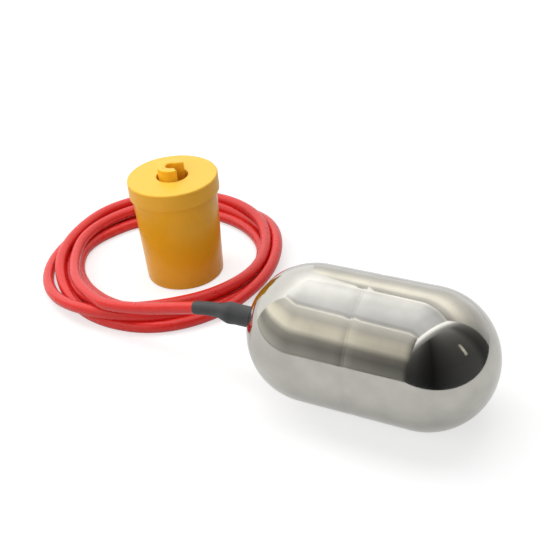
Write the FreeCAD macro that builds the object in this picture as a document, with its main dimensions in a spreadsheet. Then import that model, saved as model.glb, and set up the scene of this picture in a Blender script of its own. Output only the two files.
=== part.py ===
"""Float level switch: a steel float with a ball-operated switch inside, a coiled cable and a counterweight.

The float lies on its side along X with the cable leaving its rear end towards -X, and the counterweight
stands on its base inside the coil of cable.  Everything rests on the plane z = 0.  Inside the float a
heavy ball rolls along a rocker: whichever end is lower gets the ball, and the rocker's front half presses
a snap switch.  Sizes are millimetres and degrees.
"""
import FreeCAD, Part
import math
import os
import re
import Sketcher
from FreeCAD import Vector

SIZES = {
    # Float shell: two drawn halves joined by a girth weld.
    "float_radius": 37.5,
    "float_length": 137.0,
    "shell_wall": 0.8,
    "seam_width": 1.6,
    "seam_dip": 0.2,
    "seam_taper": 5.0,
    "seam_crown": 2.0,
    "lap_length": 5.0,
    "lap_clearance": 0.05,
    # Where the float's rear pole and axis lie.
    "pole_x": -4.8,
    "axis_y": -35.7,
    # Cable and its cores.
    "cable_diameter": 7.4,
    "core_diameter": 2.2,
    "core_circle": 1.75,
    "core_gap": 0.9,
    # Cable nipple in the rear shell, with its flange, its threaded stub and what seals it.
    "nipple_diameter": 10.6,
    "nipple_reach": 17.0,
    "nipple_fit": 0.03,
    "cable_clearance": 0.2,
    "bead_height": 0.4,
    "bead_length": 2.5,
    "flange_diameter": 18.0,
    "flange_front": 4.2,
    "stub_length": 10.0,
    "weld_leg": 0.8,
    "bush_wall": 0.9,
    "bush_length": 6.0,
    "crimp_wall": 1.0,
    "crimp_length": 3.0,
    "jacket_end": 0.8,
    "nut_flats": 17.0,
    "nut_thickness": 5.0,
    # Heat-shrink sleeve over the nipple and the start of the cable.
    "sleeve_over_nipple": 0.65,
    "sleeve_over_cable": 0.3,
    "sleeve_taper": 4.5,
    "sleeve_overlap": 1.0,
    "sleeve_end_gap": 0.1,
    # Sealed inner case.
    "case_diameter": 60.0,
    "case_wall": 1.5,
    "case_dome_gap": 0.92,
    "case_length": 86.0,
    "case_corner": 6.0,
    "case_fit": 0.05,
    "cap_wall": 2.5,
    "cap_hub_diameter": 24.0,
    "cap_rim": 2.0,
    "cap_spigot": 6.0,
    "cap_spigot_wall": 4.0,
    "ring_section": 2.0,
    "ring_groove": 2.2,
    "ring_offset": 2.0,
    "potting_depth": 2.0,
    # Chassis that carries the rocker and the snap switch.
    "chassis_width": 29.0,
    "chassis_wall": 2.0,
    "chassis_floor": -21.0,
    "chassis_fit": 0.1,
    "relief_top": -18.0,
    "wall_top": -1.0,
    "cheek_top": 3.0,
    "cheek_length": 16.0,
    "stop_arm": 20.0,
    "stop_length": 4.0,
    "stop_width": 4.0,
    "stop_depth": 3.0,
    "stop_gap": 0.08,
    # Rocker, its pin and the ball.
    "pivot_setback": 31.9,
    "pivot_below": 1.5,
    "tilt_range": 8.0,
    "ball_diameter": 18.0,
    "ball_travel": 26.0,
    "ball_play": 0.5,
    "ball_gap": 0.03,
    "trough_floor": 1.6,
    "trough_side": 1.2,
    "trough_end": 2.0,
    "trough_depth": 6.0,
    "pivot_drop": 1.5,
    "pivot_boss": 5.0,
    "pin_diameter": 2.0,
    "pin_clearance": 0.05,
    # Snap switch.
    "switch_length": 27.8,
    "switch_height": 15.9,
    "switch_thickness": 10.3,
    "switch_wall": 1.2,
    "switch_hole": 3.1,
    "switch_boss": 4.4,
    "hole_inset": 2.8,
    "plunger_arm": 14.0,
    "plunger_inset": 7.9,
    "plunger_diameter": 3.0,
    "plunger_collar": 4.2,
    "plunger_collar_height": 1.0,
    "plunger_nose": 4.0,
    "plunger_clearance": 0.1,
    "plunger_gap": 0.15,
    "plunger_pressed": 1.1,
    "tab_reach": 6.3,
    "tab_width": 4.8,
    "tab_thickness": 0.5,
    "contact_diameter": 3.0,
    "contact_height": 0.55,
    "contact_inset": 4.0,
    "contact_gap": 0.1,
    "blade_thickness": 0.3,
    "blade_width": 4.0,
    "blade_height": 9.6,
    "blade_pivot": 24.0,
    "rivet_height": 2.0,
    "rivet_dome": 0.3,
    "bead_diameter": 0.6,
    "notch_depth": 0.25,
    "screw_head": 5.0,
    "screw_head_height": 2.0,
    "screw_shank": 2.8,
    "screw_length": 15.0,
    "screw_bite": 0.3,
    "boss_diameter": 6.0,
    "driver_hole": 7.0,
    # Counterweight and where it stands.
    "weight_x": -103.3,
    "weight_y": 44.3,
    "weight_foot": 50.3,
    "weight_shoulder": 54.5,
    "weight_wall": 2.2,
    "weight_base": 2.5,
    "weight_foot_round": 1.5,
    "passage_diameter": 8.4,
    "passage_wall": 1.5,
    "socket_floor_z": 52.0,
    "socket_floor": 2.0,
    "socket_wall": 1.6,
    "lid_diameter": 57.8,
    "lid_base": 60.3,
    "lid_top": 71.2,
    "lid_plate": 3.7,
    "lid_hole": 19.9,
    "lid_edge": 1.2,
    "lid_hole_edge": 0.8,
    "lid_fit": 0.05,
    "ballast_depth": 30.0,
    "ballast_fit": 0.1,
    # Split clamp ring that grips the cable in the lid's socket.
    "clamp_outer": 17.5,
    "clamp_bore": 7.2,
    "clamp_stand": 6.5,
    "clamp_arc": 254.0,
    "clamp_turn": 73.0,
    "clamp_edge": 0.4,
    # Coil of cable, as one ring of its outer shape.
    "coil_x": -120.5,
    "coil_y": 45.2,
    "coil_inner": 109.0,
    "coil_outer": 163.0,
    "coil_height": 15.0,
    "coil_round": 3.0,
    # Crimped ferrules on the stripped end of the cable.
    "collar_diameter": 2.8,
    "collar_length": 5.0,
    "collar_floor": 0.55,
    "collar_cone": 0.7,
    "collar_fit": 0.03,
    "ferrule_diameter": 1.7,
    "ferrule_length": 8.0,
}

# Route of the cable from the nipple to the coil, then from the coil to the end of its jacket.
# The first two points keep to the nipple's axis, so they are worked out from it in lead_route().
LEAD_BEND = 13.2
LEAD_POINTS = ((-58.0, -34.2, 30.5), (-86.0, -33.2, 21.0), (-112.0, -29.5, 14.8))
TAIL_POINTS = ((-171.0, 80.0), (-160.5, 85.5), (-149.0, 87.5), (-137.5, 86.0))
# How far past the route's first bend the sleeve reaches.
SLEEVE_REACH = 11.0
# Angles of the three cores round the cable's middle.
CORE_ANGLES = {"blue": 150, "black": 270, "brown": 30}
# Bends of the cores inside the float, forward from the jacket's end.
BLUE_BENDS = (8.0, 19.0)
BLACK_BENDS = (6.0, 16.0)
BROWN_BENDS = (8.0, 23.0)
# The brown core comes down beside the switch to its front tab: its height before, and its last run.
BROWN_RISE = 4.0
BROWN_RUN = 22.0
# Bends of the cores outside the jacket's end: how far along, and how many times wider fanned.
FAN_BENDS = ((4.0, 1.0), (11.0, 2.0), (18.0, 3.0))

doc = FreeCAD.newDocument("FloatLevelSwitch")
sheet = doc.addObject("Spreadsheet::Sheet", "Sizes")
for row, (alias, number) in enumerate(SIZES.items(), start=1):
    sheet.set("A%d" % row, alias)
    sheet.set("B%d" % row, str(number))
    sheet.setAlias("B%d" % row, alias)
doc.recompute()

sub_parts = []


def on_sheet(formula):
    """Turn a formula of size names into an expression that reads the sheet."""
    def named(match):
        word = match.group()
        return "Sizes." + word if word in SIZES else word
    return re.sub(r"[a-z_]+", named, formula)


def value(formula):
    """The number that a formula of size names gives now."""
    return float(sheet.evalExpression(on_sheet(formula)))


def bind(feature, settings):
    """Tie a feature's properties to formulas of size names."""
    for name, formula in settings.items():
        feature.setExpression(name, on_sheet(formula))


def place(feature, x, y, z):
    """Bind where a sub-part's own origin lies."""
    for name, formula in (("x", x), ("y", y), ("z", z)):
        bind(feature, {"Placement.Base." + name: formula})


def turn(feature, axis, formula):
    """Bind how far a sub-part is turned about an axis through its own origin."""
    feature.Placement.Rotation = FreeCAD.Rotation(axis, value(formula))
    for name, part_of_axis in (("x", axis.x), ("y", axis.y), ("z", axis.z)):
        bind(feature, {"Placement.Rotation.Axis." + name: str(part_of_axis)})
    bind(feature, {"Placement.Rotation.Angle": formula})


def new_body(label, x, y, z):
    """Start a sub-part as a body with its origin at x, y, z."""
    body = doc.addObject("PartDesign::Body", label)
    body.Label = label
    place(body, x, y, z)
    sub_parts.append(body)
    return body


def in_float(label, forward="0", up="0"):
    """Start a body on the float's axis, measured forward from the rear pole and up from the axis."""
    return new_body(label, "pole_x + " + forward, "axis_y", "float_radius + " + up)


def in_weight(label, up="0"):
    """Start a body on the counterweight's upright axis."""
    return new_body(label, "weight_x", "weight_y", up)


def sketch_on(body, role, offset=None):
    """Attach a sketch to one of the body's own origin planes, moved along the plane's normal."""
    sketch = body.newObject("Sketcher::SketchObject", body.Name + "_sketch")
    plane = next(item for item in body.Origin.OriginFeatures if item.Role == role)
    sketch.AttachmentSupport = [(plane, "")]
    sketch.MapMode = "FlatFace"
    if offset:
        bind(sketch, {"AttachmentOffset.Base.z": offset})
    return sketch


def hold(sketch, edge, end, x, y):
    """Fix one end or centre of an edge at x, y from the sketch's origin."""
    for kind, formula, axis in (("DistanceX", x, -2), ("DistanceY", y, -1)):
        if formula == "0":
            sketch.addConstraint(Sketcher.Constraint("PointOnObject", edge, end, axis))
        else:
            number = sketch.addConstraint(Sketcher.Constraint(kind, -1, 1, edge, end, value(formula)))
            bind(sketch, {"Constraints[%d]" % number: formula})


def arc_between(start, end, radius, centre_side):
    """The short arc from start to end, with its centre to the left (1) or right (-1) of the way."""
    chord = end - start
    across = Vector(-chord.y, chord.x, 0).normalize() * centre_side
    rise = math.sqrt(max(radius ** 2 - (chord.Length / 2) ** 2, 0))
    centre = (start + end) / 2 + across * rise
    angles = [math.atan2(spot.y - centre.y, spot.x - centre.x) for spot in (start, end)]
    if centre_side < 0:
        angles.reverse()
    return Part.ArcOfCircle(Part.Circle(centre, Vector(0, 0, 1), radius), *angles)


def outline(sketch, corners, arcs=None):
    """Draw a closed outline.  arcs maps a corner's number to the radius and centre side of its next edge."""
    spots = [Vector(value(x), value(y), 0) for x, y in corners]
    ends = []
    for number, start in enumerate(spots):
        end = spots[(number + 1) % len(spots)]
        if arcs and number in arcs:
            radius, centre_side = arcs[number]
            edge = sketch.addGeometry(arc_between(start, end, value(radius), centre_side))
            size = sketch.addConstraint(Sketcher.Constraint("Radius", edge, value(radius)))
            bind(sketch, {"Constraints[%d]" % size: radius})
            ends.append((edge, 1, 2) if centre_side > 0 else (edge, 2, 1))
        else:
            edge = sketch.addGeometry(Part.LineSegment(start, end))
            ends.append((edge, 1, 2))
    for number, (x, y) in enumerate(corners):
        edge, head, _ = ends[number]
        edge_before, _, tail_before = ends[number - 1]
        hold(sketch, edge, head, x, y)
        sketch.addConstraint(Sketcher.Constraint("Coincident", edge_before, tail_before, edge, head))


def circle(sketch, x, y, radius):
    """Draw a circle of a bound radius about x, y."""
    centre = Vector(value(x), value(y), 0)
    edge = sketch.addGeometry(Part.Circle(centre, Vector(0, 0, 1), value(radius)))
    hold(sketch, edge, 3, x, y)
    size = sketch.addConstraint(Sketcher.Constraint("Radius", edge, value(radius)))
    bind(sketch, {"Constraints[%d]" % size: radius})


def box_outline(sketch, left, right, low, high):
    """Draw a rectangle between four bound sides."""
    outline(sketch, [(left, low), (right, low), (right, high), (left, high)])


def feature(body, kind, sketch, settings=None, **plain):
    """Add a sketch-based feature, with bound settings and plain ones."""
    made = body.newObject("PartDesign::" + kind, body.Name + "_" + kind.lower())
    made.Profile = sketch
    for name, setting in plain.items():
        setattr(made, name, setting)
    if settings:
        bind(made, settings)
    body.Tip = made
    sketch.Visibility = False
    return made


def spin(body, corners, arcs=None, kind="Revolution", axis="H_Axis", angle="360"):
    """Turn an outline in the body's XZ plane about its X axis (H_Axis) or Z axis (V_Axis)."""
    sketch = sketch_on(body, "XZ_Plane")
    outline(sketch, corners, arcs)
    doc.recompute()
    return feature(body, kind, sketch, {"Angle": angle}, ReferenceAxis=(sketch, [axis]))


def pad(body, role, draw, length, **plain):
    """Pad what draw() draws on an origin plane by a bound length."""
    sketch = sketch_on(body, role, plain.pop("offset", None))
    draw(sketch)
    doc.recompute()
    return feature(body, "Pad", sketch, {"Length": length}, **plain)


def pocket(body, role, draw, length, **plain):
    """Cut what draw() draws on an origin plane to a bound depth."""
    sketch = sketch_on(body, role, plain.pop("offset", None))
    draw(sketch)
    doc.recompute()
    return feature(body, "Pocket", sketch, {"Length": length}, **plain)


def on_sphere(radius, height, centre):
    """Where a sphere about centre on the axis is cut at a height from the axis, on its rear side."""
    return "(%s - sqrt((%s)^2 - (%s)^2))" % (centre, radius, height)


# Lengths that several pieces share, as formulas of the sizes.
bore_radius = "(float_radius - shell_wall)"
nipple_radius = "(nipple_diameter / 2)"
cable_radius = "(cable_diameter / 2)"
seam_rear = "(float_length / 2 - seam_width / 2)"
seam_front = "(float_length / 2 + seam_width / 2)"
front_centre = "(float_length - float_radius)"
lap_radius = "(float_radius - shell_wall - lap_clearance)"
stub_end = "(flange_front + stub_length)"
crimp_end = "(flange_front + stub_length + crimp_length)"
entry_end = "(flange_front + stub_length + crimp_length + jacket_end)"
case_bore = "(case_diameter / 2 - case_wall)"
hub_front = "(flange_front + cap_wall)"
cap_rear = on_sphere(bore_radius + " - case_dome_gap", "case_diameter / 2", "float_radius")
case_rear = "(%s + cap_rim)" % cap_rear
case_front = "(%s + case_length)" % case_rear
case_inside_front = "(%s - case_wall)" % case_front
cap_front = "(%s + cap_spigot)" % case_rear


def rear_shell():
    """Drawn rear half: a dome with the nipple's hole, and a wall drawn in slightly at the girth weld."""
    body = in_float("rear_shell")
    hole = nipple_radius + " + nipple_fit"
    spin(body, [
        (on_sphere("float_radius", hole, "float_radius"), hole),
        ("float_radius", "float_radius"),
        (seam_rear + " - seam_taper", "float_radius"),
        (seam_rear, "float_radius - seam_dip"),
        (seam_rear, bore_radius),
        ("float_radius", bore_radius),
        (on_sphere(bore_radius, hole, "float_radius"), hole),
    ], {0: ("float_radius", -1), 5: (bore_radius, 1)})


def front_shell():
    """Drawn front half: a closed dome, joggled at its rim to lap inside the rear half."""
    body = in_float("front_shell")
    spin(body, [
        (seam_rear + " - lap_length", lap_radius),
        (seam_front, lap_radius),
        (seam_front, "float_radius - seam_dip"),
        (seam_front + " + seam_taper", "float_radius"),
        (front_centre, "float_radius"),
        ("float_length", "0"),
        ("float_length - shell_wall", "0"),
        (front_centre, bore_radius),
        (seam_front + " + 2 * shell_wall", bore_radius),
        (seam_front, lap_radius + " - shell_wall"),
        (seam_rear + " - lap_length", lap_radius + " - shell_wall"),
    ], {4: ("float_radius", -1), 6: (bore_radius, 1)})


def weld_seam():
    """Girth weld between the halves, ground nearly flush."""
    body = in_float("weld_seam")
    spin(body, [
        (seam_rear, lap_radius),
        (seam_rear, "float_radius - seam_dip"),
        (seam_front, "float_radius - seam_dip"),
        (seam_front, lap_radius),
    ], {1: ("seam_crown", -1)})


def cable_nipple():
    """Turned nipple: a beaded tube outside the float, a flange against the dome and a stub inside."""
    body = in_float("cable_nipple")
    spin(body, [
        ("-nipple_reach", cable_radius + " + cable_clearance"),
        ("-nipple_reach", nipple_radius),
        ("-nipple_reach + bead_length / 2", nipple_radius + " + bead_height"),
        ("-nipple_reach + bead_length", nipple_radius),
        (on_sphere(bore_radius + " - nipple_fit", nipple_radius, "float_radius"), nipple_radius),
        (on_sphere(bore_radius + " - nipple_fit", "flange_diameter / 2", "float_radius"),
         "flange_diameter / 2"),
        ("flange_front", "flange_diameter / 2"),
        ("flange_front", nipple_radius),
        (stub_end, nipple_radius),
        (stub_end, cable_radius + " + bush_wall"),
        (stub_end + " - bush_length", cable_radius + " + bush_wall"),
        (stub_end + " - bush_length", cable_radius + " + cable_clearance"),
    ], {4: (bore_radius + " - nipple_fit", -1)})


def nipple_weld():
    """Fillet weld round the nipple where it leaves the dome."""
    body = in_float("nipple_weld")
    inside = on_sphere("float_radius", nipple_radius, "float_radius")
    spin(body, [
        (inside, nipple_radius),
        (inside + " - weld_leg", nipple_radius),
        (on_sphere("float_radius", nipple_radius + " + weld_leg", "float_radius"),
         nipple_radius + " + weld_leg"),
    ], {2: ("float_radius", 1)})


def seal_bush():
    """Rubber bush round the cable in the stub's mouth."""
    body = in_float("seal_bush", stub_end + " - bush_length")
    spin(body, [
        ("0", cable_radius),
        ("0", cable_radius + " + bush_wall"),
        ("bush_length", cable_radius + " + bush_wall"),
        ("bush_length", cable_radius),
    ])


def cable_crimp():
    """Steel ring crimped on the jacket, so that the cable can't be pulled out."""
    body = in_float("cable_crimp", stub_end)
    spin(body, [
        ("0", cable_radius),
        ("0", cable_radius + " + crimp_wall"),
        ("crimp_length", cable_radius + " + crimp_wall"),
        ("crimp_length", cable_radius),
    ])


def lock_nut():
    """Thin hexagon nut that clamps the inner case's cap against the nipple's flange."""
    body = in_float("lock_nut", hub_front)
    corner = "(nut_flats / 2 / cos(30))"

    def hexagon(sketch):
        outline(sketch, [("%s * cos(%d)" % (corner, angle), "%s * sin(%d)" % (corner, angle))
                         for angle in range(30, 390, 60)])
        circle(sketch, "0", "0", nipple_radius)

    pad(body, "YZ_Plane", hexagon, "nut_thickness")


def inner_case():
    """Moulded case, open at the rear, that keeps the switch dry if the float ever leaks."""
    body = in_float("inner_case")
    outer = "case_diameter / 2"
    spin(body, [
        (case_rear, case_bore),
        (case_rear, outer),
        (case_front + " - case_corner", outer),
        (case_front, outer + " - case_corner"),
        (case_front, "0"),
        (case_inside_front, "0"),
        (case_inside_front, outer + " - case_corner"),
        (case_front + " - case_corner", case_bore),
    ], {2: ("case_corner", -1), 6: ("case_corner - case_wall", 1)})


def inner_cap():
    """Dished cap of the inner case, with a spigot and a groove for its sealing ring."""
    body = in_float("inner_cap")
    spigot = case_bore + " - case_fit"
    inside = case_bore + " - case_fit - cap_spigot_wall"
    groove = case_bore + " - ring_section"
    groove_rear = case_rear + " + ring_offset"
    spin(body, [
        ("flange_front", nipple_radius + " + nipple_fit"),
        ("flange_front", "cap_hub_diameter / 2"),
        (cap_rear, "case_diameter / 2"),
        (case_rear, "case_diameter / 2"),
        (case_rear, spigot),
        (groove_rear, spigot),
        (groove_rear, groove),
        (groove_rear + " + ring_groove", groove),
        (groove_rear + " + ring_groove", spigot),
        (cap_front, spigot),
        (cap_front, inside),
        (cap_rear, inside),
        (hub_front, "cap_hub_diameter / 2 - case_wall"),
        (hub_front, nipple_radius + " + nipple_fit"),
    ])


def cap_seal_ring():
    """Sealing ring squeezed between the cap's groove and the case's wall."""
    body = in_float("cap_seal_ring", case_rear + " + ring_offset + ring_groove / 2")
    sketch = sketch_on(body, "XZ_Plane")
    circle(sketch, "0", case_bore + " - ring_section / 2", "ring_section / 2")
    doc.recompute()
    feature(body, "Revolution", sketch, {"Angle": "360"}, ReferenceAxis=(sketch, ["H_Axis"]))


# Places in the float that the rocker, the stops and the snap switch share.
chassis_rear = "(%s + chassis_fit)" % cap_front
pivot_forward = "(%s + pivot_setback)" % chassis_rear
pivot_up = "(0 - pivot_below)"
half_tilt = "(tilt_range / 2)"
stop_up = "(%s + pivot_drop * cos(%s) - (stop_arm + stop_length / 2) * sin(%s) - stop_gap)" % (
    pivot_up, half_tilt, half_tilt)
pressed_up = "(%s + pivot_drop * cos(%s) - plunger_arm * sin(%s) - plunger_gap)" % (
    pivot_up, half_tilt, half_tilt)
plunger_travel = "(2 * plunger_arm * sin(%s))" % half_tilt
switch_up = "(%s - plunger_pressed - switch_height)" % pressed_up
switch_forward = "(%s + plunger_arm - plunger_inset)" % pivot_forward
trough_width = "(ball_diameter + 2 * ball_play)"
trough_length = "(ball_travel + ball_diameter)"
floor_top = "(pivot_drop + trough_floor)"
screw_spots = (
    ("hole_inset", "hole_inset"),
    ("switch_length - hole_inset", "switch_height - hole_inset"),
)
nc_height = "(blade_height + rivet_height / 2 + contact_gap + contact_height)"
blade_drop = "((blade_pivot - contact_inset) * %s / (blade_pivot - plunger_inset))" % plunger_travel
no_height = "(blade_height - rivet_height / 2 - %s - contact_gap - contact_height - tab_thickness)" % (
    blade_drop)
com_height = "(blade_height / 2 - tab_thickness)"
blade_top = "(blade_height + blade_thickness / 2)"


def at_screws(diameter, forward="0", up="0"):
    """What draws a circle at each of the snap switch's two screws."""
    def draw(sketch):
        for along, above in screw_spots:
            circle(sketch, "%s + %s" % (forward, along), "%s + %s" % (up, above), diameter + " / 2")
    return draw


def switch_chassis():
    """Moulded channel with pivot cheeks, four rocker stops and two bosses for the snap switch."""
    body = in_float("switch_chassis", chassis_rear)
    outer = "chassis_width / 2"
    inner = "(chassis_width / 2 - chassis_wall)"
    foot = "-sqrt((%s - chassis_fit)^2 - (chassis_width / 2)^2)" % case_bore
    length = "(%s - chassis_fit - %s)" % (case_inside_front, chassis_rear)
    pivot = "pivot_setback"

    def channel(sketch):
        outline(sketch, [
            ("-" + outer, foot), ("-" + inner, foot), ("-" + inner, "chassis_floor - chassis_wall"),
            (inner, "chassis_floor - chassis_wall"), (inner, foot), (outer, foot),
            (outer, "cheek_top"), (inner, "cheek_top"), (inner, "chassis_floor"),
            ("-" + inner, "chassis_floor"), ("-" + inner, "cheek_top"), ("-" + outer, "cheek_top"),
        ])

    def behind_cheeks(sketch):
        box_outline(sketch, "-chassis_wall", pivot + " - cheek_length / 2", "wall_top", "cheek_top + 1")
        box_outline(sketch, pivot + " + cheek_length / 2", length + " + chassis_wall",
                    "wall_top", "cheek_top + 1")

    def stops(sketch):
        for centre in ("- stop_arm", "+ stop_arm"):
            box_outline(sketch, "%s %s - stop_length / 2" % (pivot, centre),
                        "%s %s + stop_length / 2" % (pivot, centre),
                        "%s - stop_depth" % stop_up, stop_up)

    def screw_circles(diameter):
        return at_screws(diameter, "%s - %s" % (switch_forward, chassis_rear), switch_up)

    def pin_hole(sketch):
        circle(sketch, pivot, pivot_up, "pin_diameter / 2")

    def front_relief(sketch):
        box_outline(sketch, length + " - case_corner", length + " + chassis_wall",
                    "-case_diameter / 2", "relief_top")

    pad(body, "YZ_Plane", channel, length)
    pocket(body, "XZ_Plane", front_relief, "2 * chassis_width", SideType="Symmetric")
    pocket(body, "XZ_Plane", behind_cheeks, "2 * chassis_width", SideType="Symmetric")
    # Sketches on the XZ plane face -Y, so an offset along their normal counts towards -Y.
    pad(body, "XZ_Plane", stops, "stop_width + chassis_wall / 2", offset=inner + " - stop_width")
    pad(body, "XZ_Plane", stops, "stop_width + chassis_wall / 2", offset="-" + inner + " + stop_width",
        Reversed=True)
    pad(body, "XZ_Plane", screw_circles("boss_diameter"),
        inner + " + chassis_wall / 2 - switch_thickness / 2", offset="switch_thickness / 2")
    pocket(body, "XZ_Plane", screw_circles("(screw_shank - 2 * screw_bite)"),
           "screw_length - switch_thickness + chassis_fit", offset="switch_thickness / 2",
           Reversed=True)
    pocket(body, "XZ_Plane", screw_circles("driver_hole"), "chassis_width",
           offset="-switch_thickness / 2")
    pocket(body, "XZ_Plane", pin_hole, "2 * chassis_width", SideType="Symmetric")


def on_rocker(label):
    """Start a body at the rocker's pivot, turned with its rear end down as it lies at rest."""
    body = in_float(label, pivot_forward, pivot_up)
    turn(body, Vector(0, 1, 0), "-tilt_range / 2")
    return body


def rocker():
    """Moulded trough that the ball rolls in, with a bored boss under its middle."""
    body = on_rocker("rocker")
    half_width = "(%s / 2 + trough_side)" % trough_width
    half_length = "(%s / 2 + trough_end)" % trough_length

    def block(sketch):
        box_outline(sketch, "-" + half_length, half_length, "pivot_drop", floor_top + " + trough_depth")

    def boss(sketch):
        circle(sketch, "0", "0", "pivot_boss / 2")

    def neck(sketch):
        box_outline(sketch, "-pivot_boss / 2", "pivot_boss / 2", "0", "pivot_drop + trough_floor / 2")

    def hollow(sketch):
        box_outline(sketch, "-" + trough_length + " / 2", trough_length + " / 2",
                    "-" + trough_width + " / 2", trough_width + " / 2")

    def bore(sketch):
        circle(sketch, "0", "0", "pin_diameter / 2 + pin_clearance")

    pad(body, "XZ_Plane", block, "2 * " + half_width, SideType="Symmetric")
    pad(body, "XZ_Plane", neck, "2 * " + half_width, SideType="Symmetric")
    pad(body, "XZ_Plane", boss, "2 * " + half_width, SideType="Symmetric")
    pocket(body, "XY_Plane", hollow, "2 * trough_depth", offset=floor_top, Reversed=True)
    pocket(body, "XZ_Plane", bore, "4 * " + half_width, SideType="Symmetric")


def rocker_pin():
    """Steel pin pressed into the chassis cheeks."""
    body = in_float("rocker_pin", pivot_forward, pivot_up)
    pad(body, "XZ_Plane", lambda sketch: circle(sketch, "0", "0", "pin_diameter / 2"),
        "chassis_width", SideType="Symmetric")


def steel_ball():
    """Heavy ball, at the trough's rear end."""
    body = on_rocker("steel_ball")
    middle = "(-ball_travel / 2 + ball_gap)"
    up = "(%s + ball_diameter / 2 + ball_gap)" % floor_top
    radius = "ball_diameter / 2"
    sketch = sketch_on(body, "XZ_Plane")
    outline(sketch, [
        (middle, up + " - " + radius), (middle + " + " + radius, up), (middle, up + " + " + radius),
    ], {0: (radius, 1), 1: (radius, 1)})
    doc.recompute()
    feature(body, "Revolution", sketch, {"Angle": "360"}, ReferenceAxis=(sketch, ["Edge3"]))


def in_switch(label):
    """Start a body at the snap switch's lower rear corner, on its middle plane."""
    return in_float(label, switch_forward, switch_up)


def switch_openings(sketch):
    """Slots in the switch's end walls for the three tabs."""
    reach = "2 * switch_wall"
    for height in (nc_height, no_height):
        box_outline(sketch, "-" + reach, reach, height, height + " + tab_thickness")
    box_outline(sketch, "switch_length - " + reach, "switch_length + " + reach,
                com_height, com_height + " + tab_thickness")


def microswitch_base():
    """Switch body: a tray with end slots for the tabs, two bored bosses and the plunger's guide hole."""
    body = in_switch("microswitch_base")
    half = "switch_thickness / 2"

    def block(sketch):
        box_outline(sketch, "0", "switch_length", "0", "switch_height")

    def cavity(sketch):
        box_outline(sketch, "switch_wall", "switch_length - switch_wall",
                    "switch_wall", "switch_height - switch_wall")

    def guide(sketch):
        circle(sketch, "plunger_inset", "0", "plunger_diameter / 2 + plunger_clearance")

    pad(body, "XZ_Plane", block, "switch_thickness - switch_wall", offset="-" + half + " + switch_wall")
    pocket(body, "XZ_Plane", cavity, "switch_thickness - 2 * switch_wall",
           offset="-" + half + " + switch_wall", Reversed=True)
    pad(body, "XZ_Plane", at_screws("switch_boss"), "switch_thickness - switch_wall",
        offset="-" + half + " + switch_wall")
    pocket(body, "XZ_Plane", at_screws("switch_hole"), "3 * switch_thickness", SideType="Symmetric")
    pocket(body, "XZ_Plane", switch_openings, "tab_width + 2 * plunger_clearance", SideType="Symmetric")
    pocket(body, "XY_Plane", guide, "3 * switch_wall", offset="switch_height + switch_wall")


def microswitch_cover():
    """Flat cover of the snap switch, with the two screw holes."""
    body = in_switch("microswitch_cover")

    def plate(sketch):
        box_outline(sketch, "0", "switch_length", "0", "switch_height")
        at_screws("switch_hole")(sketch)

    pad(body, "XZ_Plane", plate, "switch_wall", offset="-switch_thickness / 2")


def plunger():
    """Turned plunger with a rounded foot, and a collar that keeps it in the switch."""
    body = in_switch("plunger")
    bind(body, {"Placement.Base.x": "pole_x + %s + plunger_inset" % switch_forward})
    top = "(switch_height + plunger_pressed + %s)" % plunger_travel
    foot = blade_top + " + contact_gap"
    nose_rise = "(plunger_nose - sqrt(plunger_nose^2 - (plunger_diameter / 2)^2))"
    collar_top = "(switch_height - switch_wall - contact_gap)"
    spin(body, [
        ("0", foot), ("plunger_diameter / 2", foot + " + " + nose_rise),
        ("plunger_diameter / 2", collar_top + " - plunger_collar_height"),
        ("plunger_collar / 2", collar_top + " - plunger_collar_height"),
        ("plunger_collar / 2", collar_top), ("plunger_diameter / 2", collar_top),
        ("plunger_diameter / 2", top + " - plunger_diameter / 6"),
        ("plunger_diameter / 3", top), ("0", top),
    ], {0: ("plunger_nose", 1), 6: ("plunger_diameter / 6", 1)}, axis="V_Axis")


def fixed_contact(label, height, contact_low):
    """A brass strip through the switch's rear wall, with a contact at its inner end."""
    body = in_switch(label)

    def strip(sketch):
        box_outline(sketch, "-tab_reach", "contact_inset + contact_diameter / 2",
                    height, height + " + tab_thickness")

    pad(body, "XZ_Plane", strip, "tab_width", SideType="Symmetric")
    pad(body, "XY_Plane", lambda sketch: circle(sketch, "contact_inset", "0", "contact_diameter / 2"),
        "contact_height + tab_thickness / 2", offset=contact_low)


def nc_terminal():
    """Upper fixed contact, touched while the plunger is free."""
    fixed_contact("nc_terminal", nc_height, nc_height + " - contact_height")


def no_terminal():
    """Lower fixed contact, touched while the plunger is pressed."""
    fixed_contact("no_terminal", no_height, no_height + " + tab_thickness / 2")


def common_terminal():
    """Bent brass strip: a notched post that the blade pivots in, and a tab through the front wall."""
    body = in_switch("common_terminal")
    notch = "(bead_diameter / 2 + contact_gap)"
    post = "(blade_pivot + %s - notch_depth)" % notch

    def bent(sketch):
        outline(sketch, [
            (post, com_height), ("switch_length + tab_reach", com_height),
            ("switch_length + tab_reach", com_height + " + tab_thickness"),
            (post + " + tab_thickness", com_height + " + tab_thickness"),
            (post + " + tab_thickness", "blade_height + tab_thickness"),
            (post, "blade_height + tab_thickness"),
        ])

    pad(body, "XZ_Plane", bent, "tab_width", SideType="Symmetric")
    pocket(body, "XZ_Plane", lambda sketch: circle(sketch, "blade_pivot", "blade_height", notch),
           "2 * tab_width", SideType="Symmetric")


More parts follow.
